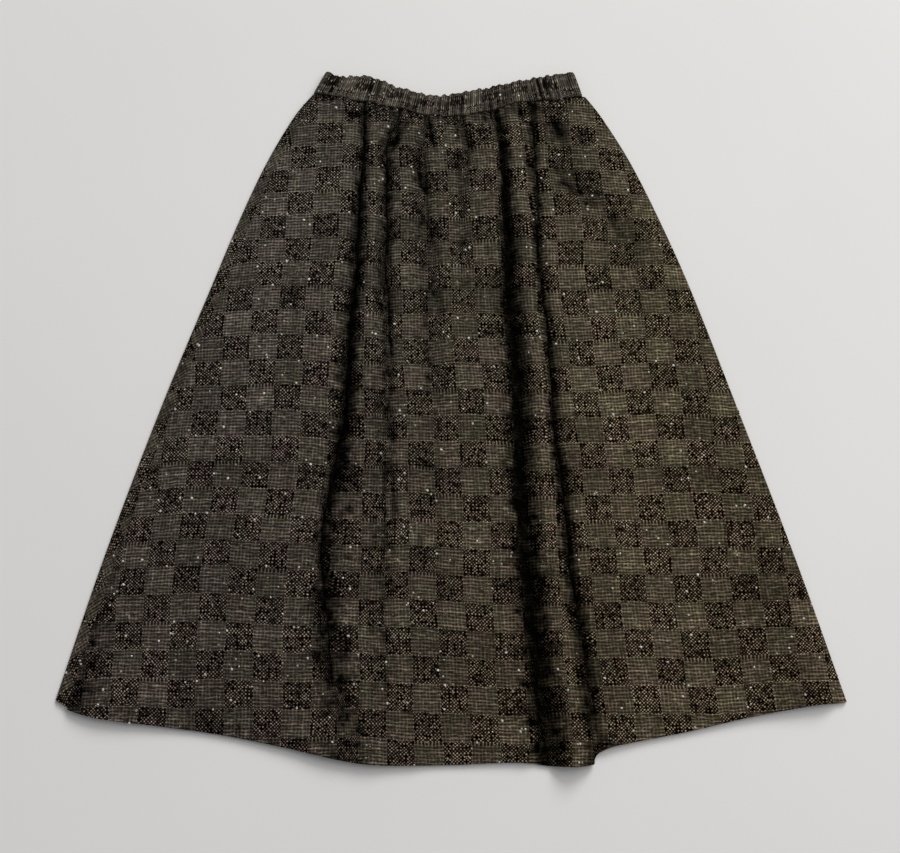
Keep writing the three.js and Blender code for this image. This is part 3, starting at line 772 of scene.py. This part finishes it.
def makeBand():
    t, turn = bandStations()
    side = np.where(t < 0.5, -1, 1)
    half = band["thickness"] / 2
    roll = band["roll"]
    inset = roll + half
    flat = (turn == 0) | (turn == 1)
    normalX = np.where(flat, 0, side * np.sin(math.pi * turn))
    normalZ = np.cos(math.pi * turn)
    low = mix(outline["waistSeam"][0][0] + inset, outline["waistSeam"][-1][0] - inset, t)
    high = mix(outline["waistTop"][0][0] + inset, outline["waistTop"][-1][0] - inset, t)
    main, small = puckerDip(t, turn)
    wide = np.sin(math.pi * (puckers * t / 2 + 0.5 * np.sin(13 * t)))**2
    wide = wide * ease(t * 20) * ease((1 - t) * 20)
    angle = np.linspace(-0.5 * math.pi + 0.02, 1.5 * math.pi - 0.02, band["sectionPoints"])
    out = np.sign(np.cos(angle)) * np.abs(np.cos(angle))**band["squareness"]
    rise = 0.5 + 0.5 * np.sign(np.sin(angle)) * np.abs(np.sin(angle))**band["squareness"]
    rings = []
    for thin in (0, band["cloth"]):
        o = out * (1 - thin / half)
        r = 0.5 + (rise - 0.5) * (1 - thin / 14)
        dip = np.where(out[None, :] > 0, (main + small)[:, None] * 0.9, (main * 0.35 + small * 0.8)[:, None])
        shift = normalX[:, None] * (roll + o * half)
        lowX = low[:, None] + shift
        bottom = seamAt(lowX) + drape["seamGap"] + 0.35 * main[:, None] + seamWave(lowX)
        notch = (band["top"] * (0.5 * main / band["depth"] + wide) + small * 0.3)[:, None]
        top = along(outline["waistTop"], 1, high[:, None] + shift) + band["aboveSeamLine"] - notch
        x = mix(low[:, None], high[:, None], r) + shift
        z = inset + normalZ[:, None] * (roll + o * half - dip * np.sign(o + 1e-9) * np.where(o > 0, 1, -1))
        rings.append(np.stack([x, mix(bottom, top, r), z], axis=2))
    outer, inner = rings
    way = np.concatenate([[0], np.cumsum(np.linalg.norm(np.diff(outer[:, 6], axis=0), axis=1))])
    stations, section = outer.shape[:2]
    path = np.linspace(0, 62 * band["threadShare"], section)
    count = stations * section
    index = np.arange(count).reshape(stations, section)
    ahead = np.roll(index, -1, axis=0)
    quads = np.stack([index[:, :-1], ahead[:, :-1], ahead[:, 1:], index[:, 1:]], axis=-1).reshape(-1, 4)
    first = np.stack([index[:, 0], index[:, 0] + count, ahead[:, 0] + count, ahead[:, 0]], axis=1)
    last = np.stack([index[:, -1], ahead[:, -1], ahead[:, -1] + count, index[:, -1] + count], axis=1)
    faces = np.concatenate([quads, quads[:, ::-1] + count, first, last])
    corners = np.concatenate([outer.reshape(-1, 3), inner.reshape(-1, 3)])
    weave = np.stack(np.broadcast_arrays(path[None, :], way[:, None] * band["stretch"]), axis=2)
    # Painted shade in the grooves between the puckers and at both ends of the band
    uneven = 0.75 + 0.6 * np.sin(37 * t + 1.2)
    paintedGrooves = band["groovePaintedShade"] * (0.6 * main / band["depth"] + 0.5 * small / band["ribs"]) * uneven
    ends = [np.exp(-((away / band["endReach"])**2)) for away in (t, 1 - t)]
    shade = np.clip(paintedGrooves + band["endPaintedShade"] * (ends[0] + ends[1]), 0, band["paintedDarkest"])
    shade = np.repeat(shade, section)
    outside = np.ones(len(quads), bool)
    return finishCloth("skirtBand", corners, faces, weave.reshape(-1, 2), shade, outside)


waistBand = makeBand()
print("waistband made:", len(waistBand.data.polygons), "faces")


# Materials

def fill(tree, node, given):       # a link from another node's output, or a plain value, for each input
    for name, value in given.items():
        if isinstance(value, bpy.types.NodeSocket):
            tree.links.new(value, node.inputs[name])
        elif value is not None:
            node.inputs[name].default_value = value


def newNode(tree, kind, given=None, **settings):
    node = tree.nodes.new(kind)
    for name, value in settings.items():
        setattr(node, name, value)
    fill(tree, node, given or {})
    return node


def calc(tree, operation, a, b=None, c=None, clamp=False):
    given = {0: a, 1: b, 2: c}
    return newNode(tree, "ShaderNodeMath", given, operation=operation, use_clamp=clamp).outputs[0]


def spread(tree, value, fromLow, fromHigh, toLow=0.0, toHigh=1.0):
    return newNode(tree, "ShaderNodeMapRange", {
        "Value": value, "From Min": fromLow, "From Max": fromHigh, "To Min": toLow, "To Max": toHigh,
    }, clamp=True).outputs[0]


def blendColour(tree, share, a, b, mode="MIX"):
    given = {0: share, 6: a, 7: b}
    return newNode(tree, "ShaderNodeMix", given, data_type="RGBA", blend_type=mode).outputs[2]


def noise(tree, vector, scale, detail=2.0, rough=0.5):
    return newNode(tree, "ShaderNodeTexNoise", {
        "Vector": vector, "Scale": scale, "Detail": detail, "Roughness": rough,
    }).outputs["Fac"]


def joined(tree, *values):
    return newNode(tree, "ShaderNodeCombineXYZ", dict(enumerate(values))).outputs[0]


def chance(tree, a, b=None):       # one random value for each whole number, or pair of them
    given = {"Vector": joined(tree, a, b)}
    return newNode(tree, "ShaderNodeTexWhiteNoise", given, noise_dimensions="2D").outputs["Value"]


def newGroup(name, inputs, outputs):
    group = bpy.data.node_groups.new(name, "ShaderNodeTree")
    for label, kind, value in inputs:
        socket = group.interface.new_socket(label, in_out="INPUT", socket_type=kind)
        if value is not None:
            socket.default_value = value
    for label, kind in outputs:
        group.interface.new_socket(label, in_out="OUTPUT", socket_type=kind)
    start, end = newNode(group, "NodeGroupInput"), newNode(group, "NodeGroupOutput")
    return group, start.outputs, end.inputs


tweed = {
    "pitch": 4.0,                  # mm between threads
    "squareThreads": 8,
    "darkGround": (0.0024, 0.0014, 0.0010, 1),
    "dot": (0.425, 0.347, 0.290, 1),
    "lightGround": (0.0155, 0.0137, 0.0113, 1),
    "thread": (0.374, 0.313, 0.260, 1),
    "olive": (0.966, 1.022, 0.965, 1),
    "mauve": (1.032, 0.982, 1.025, 1),
    # colour of the painted warm light tint, stronger to the right and towards the hem
    "warm": (1.035, 1.0, 0.76, 1),
    "wander": 0.9,                 # of each yarn, in threads
    "wanderScales": (95, 110),     # of the noise, here and below
    "grainScale": 420,
    "slubScale": 105,
    "streakScale": 620,
    "faintScale": 560,
    "patchScale": 30,
    "raggedScale": 70,
    "plainMix": 0.42,              # share of light cloth where the squares have no contrast
    "warpTones": (0.8, 1.2),       # dimmest and brightest yarn, square and dot
    "weftTones": (0.7, 1.3),
    "squareTones": (0.82, 1.18),
    "mainDotTones": (0.4, 1.3),
    "halfDotTones": (0.15, 1, 0.0, 1.05),
    "missingDots": (0.35, 0.46, 0.10, 1.0),
    "dotGrain": (0.3, 0.7, 0.5, 1.5),
    "dotSharpness": 3.0,
    "streakTones": (0.36, 0.66, 0.15, 1.35),
    "boldStreaks": (0.55, 0.75, 0.0, 0.45),
    "faintTones": (0.4, 0.7, 0.1, 1.0),
    "lineGrain": (0.3, 0.7, 0.6, 1.4),
    "dashes": (0.42, 0.34),
    "dashSlubs": (0.62, 0.42),
    "acrossShare": 0.31,           # of the streaks in the light squares
    "downShare": 0.27,
    "dashShare": 0.7,
    "fringeOver": 0.78,            # squares whose chance is over this have a row of long stitches
    "fringeShare": 0.7,
    "stitch": (1.4, 0.42),         # sharpness and brightness
    "patchEdge": (0.38, 0.62),
    "oliveDown": (-0.30, 0.36, -0.05, 0.13),       # from hem to waist in m, and what it is there
    "warmDown": (-0.33, 0.36, 0.18, -0.25),
    "warmAcross": (-0.26, 0.29),   # from left to right in m
    "toneAcross": (0.02, 0.26),
    "ragged": 2.2,                 # how much the yarns tear the edge of a fold's painted shade
    "paintedDarkest": 0.985,
    "rough": (0.98, 0.88),
    "shine": 0.015,
    "relief": (0.3, 0.0005),
}


def calcVector(tree, operation, vector, other):
    return newNode(tree, "ShaderNodeVectorMath", {0: vector, 1: other}, operation=operation).outputs[0]


def lineNear(tree, way, sharp):    # 1 on each whole number of threads, 0 between
    wave = calc(tree, "COSINE", calc(tree, "MULTIPLY", way, 2 * math.pi))
    return calc(tree, "POWER", calc(tree, "MULTIPLY_ADD", wave, 0.5, 0.5), sharp)


def grey(tree, value):             # a number as a colour
    return joined(tree, value, value, value)


def makeWeave():
    number, colour = "NodeSocketFloat", "NodeSocketColor"
    paints = {
        "Dark Ground": "darkGround", "Dot": "dot", "Light Ground": "lightGround", "Thread": "thread",
        "Olive": "olive", "Mauve": "mauve", "Warm": "warm",
    }
    group, given, result = newGroup("blockCheckTweed", [
        ("Weave", "NodeSocketVector", None), ("Pitch", number, 0.004),
        *((label, colour, tweed[key]) for label, key in paints.items()),
        ("Painted Warmth", number, 0.5), ("Squares", number, 1.0), ("Olive Drift", number, 0.0),
    ], [("Colour", colour), ("Height", number)])
    sums, ranged, cloud, pick, blend = (
        partial(tool, group) for tool in (calc, spread, noise, chance, blendColour)
    )
    times, plus = partial(sums, "MULTIPLY"), partial(sums, "ADD")
    weave = given["Weave"]
    split = newNode(group, "ShaderNodeSeparateXYZ", {0: weave}).outputs

    # Yarns wander a little, so the lattice isn't ruled
    moved = calcVector(group, "ADD", weave, (0.37, 0.61, 0))
    ways = []
    for way, where, scale in zip(split, (weave, moved), tweed["wanderScales"]):
        off = sums("MULTIPLY_ADD", cloud(where, scale, 2), tweed["wander"], -tweed["wander"] / 2)
        ways.append(plus(sums("DIVIDE", way, given["Pitch"]), off))
    a, b = ways
    nearA, nearB = sums("ROUND", a), sums("ROUND", b)

    # Squares of eight threads
    threads = float(tweed["squareThreads"])
    cellA, cellB = (sums("FLOOR", sums("DIVIDE", way, threads)) for way in (a, b))
    lightSquare = sums("SUBTRACT", 1.0, sums("FLOORED_MODULO", plus(cellA, cellB), 2.0))
    plain = tweed["plainMix"]
    mixed = sums("MULTIPLY_ADD", sums("SUBTRACT", lightSquare, plain), given["Squares"], plain)

    # Uneven yarn
    grain = cloud(weave, tweed["grainScale"], 2, 0.6)
    slub = cloud(weave, tweed["slubScale"], 3, 0.65)
    warpTone = ranged(pick(nearA, 3.0), 0, 1, *tweed["warpTones"])
    weftTone = ranged(pick(7.0, nearB), 0, 1, *tweed["weftTones"])
    yarn = times(warpTone, weftTone)

    # Dark squares: dots where a pale thread crosses over black ones
    waveA, waveB = (sums("COSINE", times(way, 2 * math.pi)) for way in (a, b))
    both = times(plus(waveA, waveB), 0.5)
    mainDots, halfDots = (
        sums("POWER", sums("MAXIMUM", wave, 0.0), tweed["dotSharpness"]) for wave in (both, times(both, -1.0))
    )
    mainTone = pick(nearA, nearB)
    halfTone = pick(sums("FLOOR", a), plus(sums("FLOOR", b), 50.0))
    mainDots = times(mainDots, ranged(mainTone, 0, 1, *tweed["mainDotTones"]))
    halfDots = times(halfDots, ranged(halfTone, *tweed["halfDotTones"]))
    dots = times(plus(mainDots, halfDots), ranged(slub, *tweed["missingDots"]))
    dots = times(dots, ranged(grain, *tweed["dotGrain"]))
    darkCloth = blend(times(dots, yarn, clamp=True), given["Dark Ground"], given["Dot"])

    # Light squares: streaky threads across, faint ones down
    long = calcVector(group, "MULTIPLY", weave, (0.16, 1, 1))
    tall = calcVector(group, "MULTIPLY", weave, (1, 0.14, 1))
    streak = cloud(long, tweed["streakScale"], 2, 0.6)
    faint = cloud(tall, tweed["faintScale"], 2, 0.6)
    across = times(lineNear(group, b, 1.5), ranged(streak, *tweed["streakTones"]))
    across = plus(across, ranged(streak, *tweed["boldStreaks"]))
    downward = times(lineNear(group, a, 2.0), ranged(faint, *tweed["faintTones"]))
    lines = sums("MULTIPLY_ADD", across, tweed["acrossShare"], times(downward, tweed["downShare"]))
    lines = times(lines, ranged(grain, *tweed["lineGrain"]))
    lightCloth = blend(times(lines, yarn, clamp=True), given["Light Ground"], given["Thread"])
    dash = times(ranged(streak, *tweed["dashes"]), ranged(slub, *tweed["dashSlubs"]))
    lightCloth = blend(times(dash, tweed["dashShare"]), lightCloth, given["Dark Ground"])

    # A row of long stitches along the top of a few squares
    down = sums("SUBTRACT", b, times(cellB, threads))
    few = sums("GREATER_THAN", pick(plus(cellA, 11.0), cellB), tweed["fringeOver"])
    fringe = times(sums("LESS_THAN", down, 1.0), few)
    sharpness, brightness = tweed["stitch"]
    stitch = times(sums("POWER", sums("MAXIMUM", waveA, 0.0), sharpness), brightness)
    stitchCloth = blend(times(stitch, yarn, clamp=True), given["Dark Ground"], given["Dot"])
    lightCloth = blend(times(fringe, tweed["fringeShare"]), lightCloth, stitchCloth)

    # Patches of olive and mauve in the yarn, and a painted warm tint of the light, stronger to one side
    cloth = blend(mixed, darkCloth, lightCloth)
    uneven = ranged(pick(plus(cellA, 5.0), plus(cellB, 90.0)), 0, 1, *tweed["squareTones"])
    cloth = blend(1.0, cloth, grey(group, uneven), "MULTIPLY")
    patch = plus(cloud(weave, tweed["patchScale"], 2), given["Olive Drift"])
    tint = blend(ranged(patch, *tweed["patchEdge"]), given["Mauve"], given["Olive"])
    cloth = blend(1.0, cloth, tint, "MULTIPLY")
    warmed = blend(1.0, cloth, given["Warm"], "MULTIPLY")
    group.links.new(blend(given["Painted Warmth"], cloth, warmed), result["Colour"])

    relief = newNode(group, "ShaderNodeMix", {0: mixed, 2: dots, 3: lines}, data_type="FLOAT")
    group.links.new(sums("MULTIPLY_ADD", grain, 0.5, relief.outputs[0]), result["Height"])
    return group


weaveGroup = makeWeave()

cloths = {                         # squares' contrast, painted warm light tint and brightness at the left and right
    "tweedFront": (1.0, 0.05, 1.15, 1.02, 1.16),
    "tweedBack": (1.0, 0.3, 0.8, 1.0, 1.1),
    "tweedBand": (0.7, 0.2, 0.45, 1.5, 1.5),
}


def newMaterial(name):
    material = bpy.data.materials.new(name)
    material.use_nodes = True
    return material, material.node_tree


def makeCloth(name):
    squares, warmLeft, warmRight, tonedLeft, tonedRight = cloths[name]
    material, tree = newMaterial(name)
    sums, ranged = partial(calc, tree), partial(spread, tree)
    uv = newNode(tree, "ShaderNodeUVMap", uv_map="weave").outputs[0]
    where = newNode(tree, "ShaderNodeTexCoord").outputs["Object"]
    x, y, _ = newNode(tree, "ShaderNodeSeparateXYZ", {0: where}).outputs
    paintedWarmth = sums("ADD", ranged(x, *tweed["warmAcross"], warmLeft, warmRight), ranged(y, *tweed["warmDown"]))
    weave = newNode(tree, "ShaderNodeGroup", node_tree=weaveGroup)
    fill(tree, weave, {
        "Weave": uv, "Pitch": tweed["pitch"] * mm, "Squares": squares, "Painted Warmth": paintedWarmth,
        "Olive Drift": ranged(y, *tweed["oliveDown"]),
    })
    colour, height = weave.outputs

    # Painted shade inside the folds, gathers, hollows and band grooves, and painted highlight on lit ridges,
    # torn at its edge by the yarns
    shade = newNode(tree, "ShaderNodeAttribute", attribute_name="paintedFoldShade")
    depth = sums("MINIMUM", shade.outputs["Fac"], 1.0)
    edge = sums("MULTIPLY", sums("MAXIMUM", depth, 0.0), sums("SUBTRACT", 1.0, depth))
    torn = noise(tree, uv, tweed["raggedScale"], 3, 0.65)
    ragged = ranged(torn, 0.3, 0.7, -tweed["ragged"], tweed["ragged"])
    depth = sums("MINIMUM", sums("MULTIPLY_ADD", edge, ragged, depth), tweed["paintedDarkest"])
    # the painted shade's tone, scaled by a brightness that changes from left to right
    bright = ranged(x, *tweed["toneAcross"], tonedLeft, tonedRight)
    tone = grey(tree, sums("MULTIPLY", sums("SUBTRACT", 1.0, depth), bright))

    strength, distance = tweed["relief"]
    relief = newNode(tree, "ShaderNodeBump", {"Strength": strength, "Distance": distance, "Height": height})
    fill(tree, tree.nodes["Principled BSDF"], {
        "Base Color": blendColour(tree, 1.0, colour, tone, "MULTIPLY"),
        "Roughness": ranged(height, 0, 1, *tweed["rough"]),
        "Specular IOR Level": tweed["shine"], "Normal": relief.outputs[0],
    })
    return material


def makePlain(name, low, high, scale):     # a soft colour between two, with a fine grain
    material, tree = newMaterial(name)
    where = newNode(tree, "ShaderNodeTexCoord").outputs["Object"]
    grain = spread(tree, noise(tree, where, scale, 2), 0.3, 0.7)
    colour = blendColour(tree, grain, (*low, 1), (*high, 1))
    fill(tree, tree.nodes["Principled BSDF"], {
        "Base Color": colour, "Roughness": 0.9, "Specular IOR Level": 0.2,
    })
    return material


frontPanel.data.materials.append(makeCloth("tweedFront"))
backPanel.data.materials.append(makeCloth("tweedBack"))
waistBand.data.materials.append(makeCloth("tweedBand"))
nepWool = makePlain("nepWool", (0.30, 0.29, 0.24), (0.80, 0.77, 0.69), 260)
mossWool = makePlain("mossWool", (0.12, 0.115, 0.08), (0.36, 0.35, 0.25), 260)
speckWool = makePlain("speckWool", (0.16, 0.14, 0.12), (0.52, 0.47, 0.40), 260)
looseWool = makePlain("looseWool", (0.012, 0.010, 0.008), (0.16, 0.14, 0.11), 90)
print("materials made")


# Neps and loose fibres, scattered with Geometry Nodes

bits = {                           # how many on a square metre, smallest and largest in mm, seed
    "neps": (820, 1.0, 2.1, 4),
    "mossNeps": (900, 1.0, 1.9, 15),
    "specks": (3200, 0.4, 0.8, 9),
    "fibres": (9000, 1.2, 3.6, 21),
}
flecks = {
    "fibreEnds": (0.004, 0.025),   # radius at the tip and at the root, as shares of its length
    "fibreLean": 1.35,             # furthest tilt off the cloth's normal, in radians
    "nepLean": 0.3,
    "nepShape": (1, 0.8, 0.55),
}


def makeScatter(name, fibre):
    tree = bpy.data.node_groups.new(name, "GeometryNodeTree")
    face = tree.interface
    for label, kind, value in (
        ("Geometry", "NodeSocketGeometry", None), ("Density", "NodeSocketFloat", 100.0),
        ("Seed", "NodeSocketInt", 1), ("Smallest", "NodeSocketFloat", 0.001),
        ("Largest", "NodeSocketFloat", 0.002), ("Material", "NodeSocketMaterial", None),
    ):
        socket = face.new_socket(label, in_out="INPUT", socket_type=kind)
        if value is not None:
            socket.default_value = value
    face.new_socket("Geometry", in_out="OUTPUT", socket_type="NodeSocketGeometry")
    start, end = newNode(tree, "NodeGroupInput").outputs, newNode(tree, "NodeGroupOutput")
    outside = newNode(tree, "GeometryNodeInputNamedAttribute", {"Name": "outside"}, data_type="BOOLEAN")
    points = newNode(tree, "GeometryNodeDistributePointsOnFaces", {
        "Mesh": start["Geometry"], "Selection": outside.outputs["Attribute"],
        "Density": start["Density"], "Seed": start["Seed"],
    }).outputs
    if fibre:
        tip, root = flecks["fibreEnds"]
        given = {"Vertices": 3, "Radius Top": tip, "Radius Bottom": root, "Depth": 1.0}
        shape = newNode(tree, "GeometryNodeMeshCone", given, fill_type="NONE")
        lean, flatten = flecks["fibreLean"], (1, 1, 1)
    else:
        shape = newNode(tree, "GeometryNodeMeshIcoSphere", {"Radius": 1.0, "Subdivisions": 1})
        lean, flatten = flecks["nepLean"], flecks["nepShape"]
    shaped = newNode(tree, "GeometryNodeTransform", {"Geometry": shape.outputs["Mesh"], "Scale": flatten})
    wobble = newNode(tree, "FunctionNodeRandomValue", data_type="FLOAT_VECTOR")
    fill(tree, wobble, {"Min": (-lean, -lean, 0), "Max": (lean, lean, 6.28), "Seed": start["Seed"]})
    turned = newNode(tree, "FunctionNodeRotateRotation", rotation_space="LOCAL")
    fill(tree, turned, {"Rotation": points["Rotation"], "Rotate By": wobble.outputs["Value"]})
    size = newNode(tree, "FunctionNodeRandomValue", data_type="FLOAT")
    fill(tree, size, {2: start["Smallest"], 3: start["Largest"], "Seed": start["Seed"]})
    copies = newNode(tree, "GeometryNodeInstanceOnPoints", {
        "Points": points["Points"], "Instance": shaped.outputs["Geometry"],
        "Rotation": turned.outputs["Rotation"], "Scale": size.outputs[1],
    })
    real = newNode(tree, "GeometryNodeRealizeInstances", {"Geometry": copies.outputs["Instances"]})
    smooth = newNode(tree, "GeometryNodeSetShadeSmooth", {"Geometry": real.outputs["Geometry"]})
    given = {"Geometry": smooth.outputs["Geometry"], "Material": start["Material"]}
    fill(tree, end, {"Geometry": newNode(tree, "GeometryNodeSetMaterial", given).outputs["Geometry"]})
    return tree


def scatter(name, source, tree, amounts, material):
    carrier = newObject(name + "Carrier", source.data)
    modifier = carrier.modifiers.new("scatter", "NODES")
    modifier.node_group = tree
    ids = {item.name: item.identifier for item in tree.interface.items_tree if item.in_out == "INPUT"}
    density, smallest, largest, seed = amounts
    for label, value in (
        ("Density", float(density)), ("Seed", seed), ("Smallest", smallest * mm), ("Largest", largest * mm),
        ("Material", material),
    ):
        modifier[ids[label]] = value
    graph = bpy.context.evaluated_depsgraph_get()
    mesh = bpy.data.meshes.new_from_object(
        carrier.evaluated_get(graph), preserve_all_data_layers=False, depsgraph=graph)
    bpy.data.objects.remove(carrier)
    return newObject(name, mesh)


nepTree = makeScatter("nepScatter", fibre=False)
fibreTree = makeScatter("fibreScatter", fibre=True)
wools = {"neps": nepWool, "mossNeps": mossWool, "specks": speckWool, "fibres": looseWool}
trims = {}
for side, source in (("Front", frontPanel), ("Back", backPanel), ("Band", waistBand)):
    trims[side] = [
        scatter(kind + side, source, fibreTree if kind == "fibres" else nepTree, amounts, wools[kind])
        for kind, amounts in bits.items()
    ]
print("neps and fibres scattered")


# Floor

def makeFloor():
    size = studio["floorSize"] / 2 * mm
    mesh = bpy.data.meshes.new("floor")
    corners = [(-size, -size, 0), (size, -size, 0), (size, size, 0), (-size, size, 0)]
    mesh.from_pydata(corners, [], [(0, 1, 2, 3)])
    floor = newObject("floor", mesh)
    tone = studio["floorColour"]
    floor.data.materials.append(makePlain("paleFloor", [c * 0.99 for c in tone], [c * 1.01 for c in tone], 3))


makeFloor()
print("floor laid")


# What each piece is

for piece, node, slot, trim in (
    (frontPanel, "front_panel", "tweed", trims["Front"]),
    (backPanel, "back_panel", "tweed", trims["Back"]),
    (waistBand, "waistband", "band_tweed", trims["Band"]),
):
    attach(piece, "root")
    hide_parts(node)
    for part in trim:
        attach(part, "root")

print("pieces declared")
